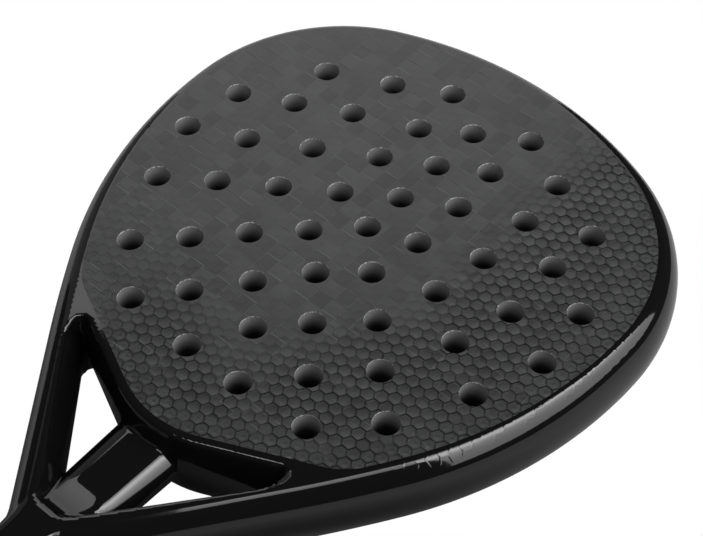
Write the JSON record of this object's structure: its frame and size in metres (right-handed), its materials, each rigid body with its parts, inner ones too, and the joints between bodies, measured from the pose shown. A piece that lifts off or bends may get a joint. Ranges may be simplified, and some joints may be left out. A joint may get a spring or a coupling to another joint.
{
  "type": "padel racket",
  "caption": "Padel racket with a thick moulded frame, a drilled hexagon-embossed face, an open ribbed throat and a wound handle.",
  "frame": {"origin": "under the middle of the racket's length and width, on the plane of the back face that it lies on", "axes": "+Y along the racket from the butt to the tip, +X across the face, +Z out of the front face"},
  "size_m": [0.2598, 0.455, 0.038],
  "materials": {
    "carbon_gloss": "glossy clear coat over black carbon",
    "carbon_embossed": "satin, embossed with hexagons",
    "eva_foam": "matte cut foam",
    "filler_foam": "matte foam",
    "grip_wrap": "perforated cushioned synthetic",
    "grip_tape": "satin tape",
    "collar_rubber": "matte rubber",
    "cap_plastic": "fine moulded grain"
  },
  "bodies": {
    "root": {"frame_tube": "carbon_gloss", "throat_bridge": "carbon_gloss", "throat_spine": "carbon_gloss", "front_face": "carbon_embossed", "back_face": "carbon_embossed", "foam_core": "eva_foam", "bridge_foam": "filler_foam", "spine_foam": "filler_foam", "handle_core": "filler_foam", "base_grip": "grip_wrap", "finishing_tape": "grip_tape", "grip_collar": "collar_rubber", "butt_cap": "cap_plastic"}
  },
  "joints": []
}
